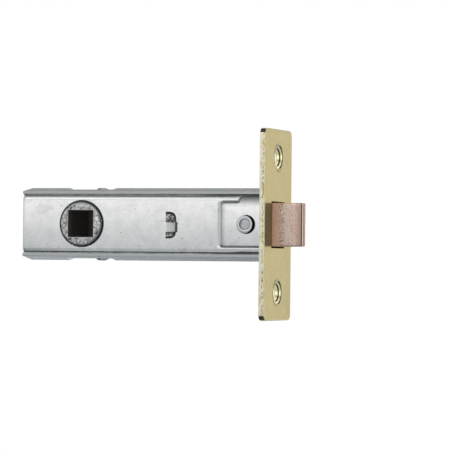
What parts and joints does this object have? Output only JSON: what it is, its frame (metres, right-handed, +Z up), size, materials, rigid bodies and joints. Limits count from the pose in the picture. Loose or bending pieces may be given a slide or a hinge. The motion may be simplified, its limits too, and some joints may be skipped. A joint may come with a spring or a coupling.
{
  "type": "tubular door latch",
  "caption": "Mortice tubular latch: sprung bevelled bolt in a slim steel case, drawn back by a square-socket follower, with a screw-on face plate.",
  "frame": {"origin": "on the spindle's axis, at the middle of the case's thickness", "axes": "+X towards the face plate and the bolt, +Y across the case's thickness to the side that the bolt's bevel faces, +Z up"},
  "size_m": [0.0893, 0.025, 0.057],
  "materials": {
    "zinc_plated_steel": "satin zinc plate",
    "bracket_steel": "satin zinc plate",
    "rivet_steel": "peened, satin",
    "stem_steel": "bright",
    "spring_steel": "oiled spring wire",
    "brass_plated_steel": "polished, pale",
    "plated_bolt": "polished, warm plate",
    "cast_zinc": "as cast, zinc alloy"
  },
  "bodies": {
    "case": {"case_body": "zinc_plated_steel", "case_cover": "zinc_plated_steel", "forend": "brass_plated_steel", "forend_bracket": "bracket_steel", "rivet_front": "rivet_steel", "rivet_rear": "rivet_steel", "spring_seat": "zinc_plated_steel", "bolt_spring": "spring_steel"},
    "follower": {"follower": "cast_zinc", "follower_spring": "spring_steel"},
    "stirrup": {"stirrup": "zinc_plated_steel"},
    "bolt": {"latch_bolt": "plated_bolt", "bolt_stem": "stem_steel", "stem_clip": "spring_steel"}
  },
  "joints": [
    {"name": "follower_turn", "type": "hinge", "parent": "case", "child": "follower", "pos_m": [0, 0, 0], "axis": [0, -1, 0], "range_deg": [0, 60], "deforming": ["follower_spring"]},
    {"name": "bolt_slide", "type": "slide", "parent": "case", "child": "bolt", "axis": [-1, 0, 0], "range_m": [0, 0.01], "stiffness_N_per_m": 500, "springref_m": -0.008, "deforming": ["bolt_spring"]},
    {"name": "stirrup_slide", "type": "slide", "parent": "case", "child": "stirrup", "axis": [-1, 0, 0], "range_m": [0, 0.01]}
  ],
  "couplings": [
    {"joint": "follower_turn", "follows": "bolt_slide", "rad_per_m": 104.72},
    {"joint": "stirrup_slide", "follows": "bolt_slide", "ratio": 1}
  ]
}
